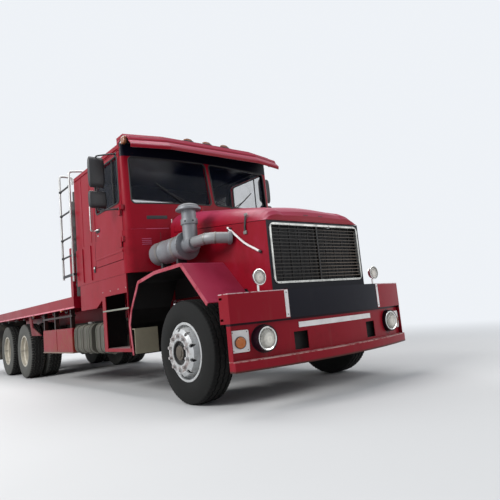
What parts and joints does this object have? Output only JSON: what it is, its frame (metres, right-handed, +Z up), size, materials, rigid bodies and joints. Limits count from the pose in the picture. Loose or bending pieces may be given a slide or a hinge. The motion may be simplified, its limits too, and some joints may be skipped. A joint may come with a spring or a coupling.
{
  "type": "bonneted flatbed truck",
  "caption": "Heavy bonneted flatbed truck with hollow cab, opening doors and hood lid, steering front wheels, twin-tyred tandem rear axles and a long flat deck.",
  "frame": {"origin": "middle of the bounding box on the ground", "axes": "+Z up; the truck faces -Y; its right side is -X and its left side is +X"},
  "size_m": [3.045, 10.5198, 3.297],
  "materials": {
    "red_paint": "faded crimson paint, paler on the tops",
    "chassis_paint": "dull dark chassis paint with road dust",
    "black_plastic": "black moulded plastic",
    "grille_metal": "pale anodised metal, a little worn",
    "cleaner_grey": "grey-blue hammered paint",
    "tyre": "dusty black rubber",
    "tank_grey": "dark grey-olive paint with road dust",
    "rail_metal": "worn bare metal with old paint",
    "rim_silver": "silver-white wheel paint",
    "rim_cream": "cream wheel paint, dusty",
    "glass": "dark navy tinted glass",
    "lamp_clear": "clear, faintly warm lamp lens",
    "lamp_amber": "amber lamp lens",
    "lamp_red": "red lamp lens",
    "seat_cloth": "dark woven seat cloth",
    "dash_plastic": "dark grained plastic",
    "deck_steel": "worn red-brown deck plate",
    "silencer_steel": "dark heat-stained steel",
    "flap_rubber": "dusty rubber flap",
    "engine_paint": "dull cast iron"
  },
  "bodies": {
    "chassis": {"air_cleaner": "cleaner_grey", "amber_lamps": "lamp_amber", "bumper": "red_paint", "cab_floor": "chassis_paint", "cab_front": "red_paint", "cab_glass": "glass", "cab_rear": "red_paint", "cab_roof": "red_paint", "cab_sides": "red_paint", "cab_steps": "red_paint", "clear_lamps": "lamp_clear", "dash": "dash_plastic", "deck_floor": "deck_steel", "deck_frame": "red_paint", "engine": "engine_paint", "fenders": "red_paint", "frame": "chassis_paint", "front_axle": "chassis_paint", "fuel_tanks": "tank_grey", "grille": "grille_metal", "headboard": "red_paint", "ladder": "rail_metal", "lockers": "red_paint", "mudguards": "flap_rubber", "nose": "red_paint", "rear_axles": "chassis_paint", "seats": "seat_cloth", "silencer": "silencer_steel", "tail_lamps": "lamp_red", "visor": "red_paint"},
    "hood_lid": {"hood_lid": "red_paint"},
    "door_right": {"door_right": "red_paint", "door_glass_right": "glass", "mirror_right": "black_plastic"},
    "knuckle_right": {"knuckle_right": "chassis_paint"},
    "wheel_front_right": {"tyre_front_right": "tyre", "rim_front_right": "rim_silver"},
    "wheel_rear_1_right": {"tyre_rear_1_right": "tyre", "rim_rear_1_right": "rim_cream"},
    "wheel_rear_2_right": {"tyre_rear_2_right": "tyre", "rim_rear_2_right": "rim_cream"},
    "door_left": {"door_left": "red_paint", "door_glass_left": "glass", "mirror_left": "black_plastic"},
    "knuckle_left": {"knuckle_left": "chassis_paint"},
    "wheel_front_left": {"tyre_front_left": "tyre", "rim_front_left": "rim_silver"},
    "wheel_rear_1_left": {"tyre_rear_1_left": "tyre", "rim_rear_1_left": "rim_cream"},
    "wheel_rear_2_left": {"tyre_rear_2_left": "tyre", "rim_rear_2_left": "rim_cream"}
  },
  "joints": [
    {"name": "hood_lid_hinge", "type": "hinge", "parent": "chassis", "child": "hood_lid", "pos_m": [0, -3.311, 2.25343], "axis": [-1, 0, 0], "range_deg": [0, 50]},
    {"name": "door_right_hinge", "type": "hinge", "parent": "chassis", "child": "door_right", "pos_m": [-1.232, -2.964, 2.3], "axis": [0, 0, 1], "range_deg": [0, 70]},
    {"name": "steer_right", "type": "hinge", "parent": "chassis", "child": "knuckle_right", "pos_m": [-0.88, -4.12, 0.525], "axis": [0, 0, 1], "range_deg": [-30, 30]},
    {"name": "roll_front_right", "type": "hinge", "parent": "knuckle_right", "child": "wheel_front_right", "pos_m": [-1.03, -4.12, 0.525], "axis": [1, 0, 0], "continuous": true},
    {"name": "roll_rear_1_right", "type": "hinge", "parent": "chassis", "child": "wheel_rear_1_right", "pos_m": [-0.915, 1.87, 0.525], "axis": [1, 0, 0], "continuous": true},
    {"name": "roll_rear_2_right", "type": "hinge", "parent": "chassis", "child": "wheel_rear_2_right", "pos_m": [-0.915, 3.27, 0.525], "axis": [1, 0, 0], "continuous": true},
    {"name": "door_left_hinge", "type": "hinge", "parent": "chassis", "child": "door_left", "pos_m": [1.232, -2.964, 2.3], "axis": [0, 0, -1], "range_deg": [0, 70]},
    {"name": "steer_left", "type": "hinge", "parent": "chassis", "child": "knuckle_left", "pos_m": [0.88, -4.12, 0.525], "axis": [0, 0, 1], "range_deg": [-30, 30]},
    {"name": "roll_front_left", "type": "hinge", "parent": "knuckle_left", "child": "wheel_front_left", "pos_m": [1.03, -4.12, 0.525], "axis": [1, 0, 0], "continuous": true},
    {"name": "roll_rear_1_left", "type": "hinge", "parent": "chassis", "child": "wheel_rear_1_left", "pos_m": [0.915, 1.87, 0.525], "axis": [1, 0, 0], "continuous": true},
    {"name": "roll_rear_2_left", "type": "hinge", "parent": "chassis", "child": "wheel_rear_2_left", "pos_m": [0.915, 3.27, 0.525], "axis": [1, 0, 0], "continuous": true}
  ],
  "couplings": [
    {"joint": "steer_left", "follows": "steer_right", "ratio": 1}
  ]
}
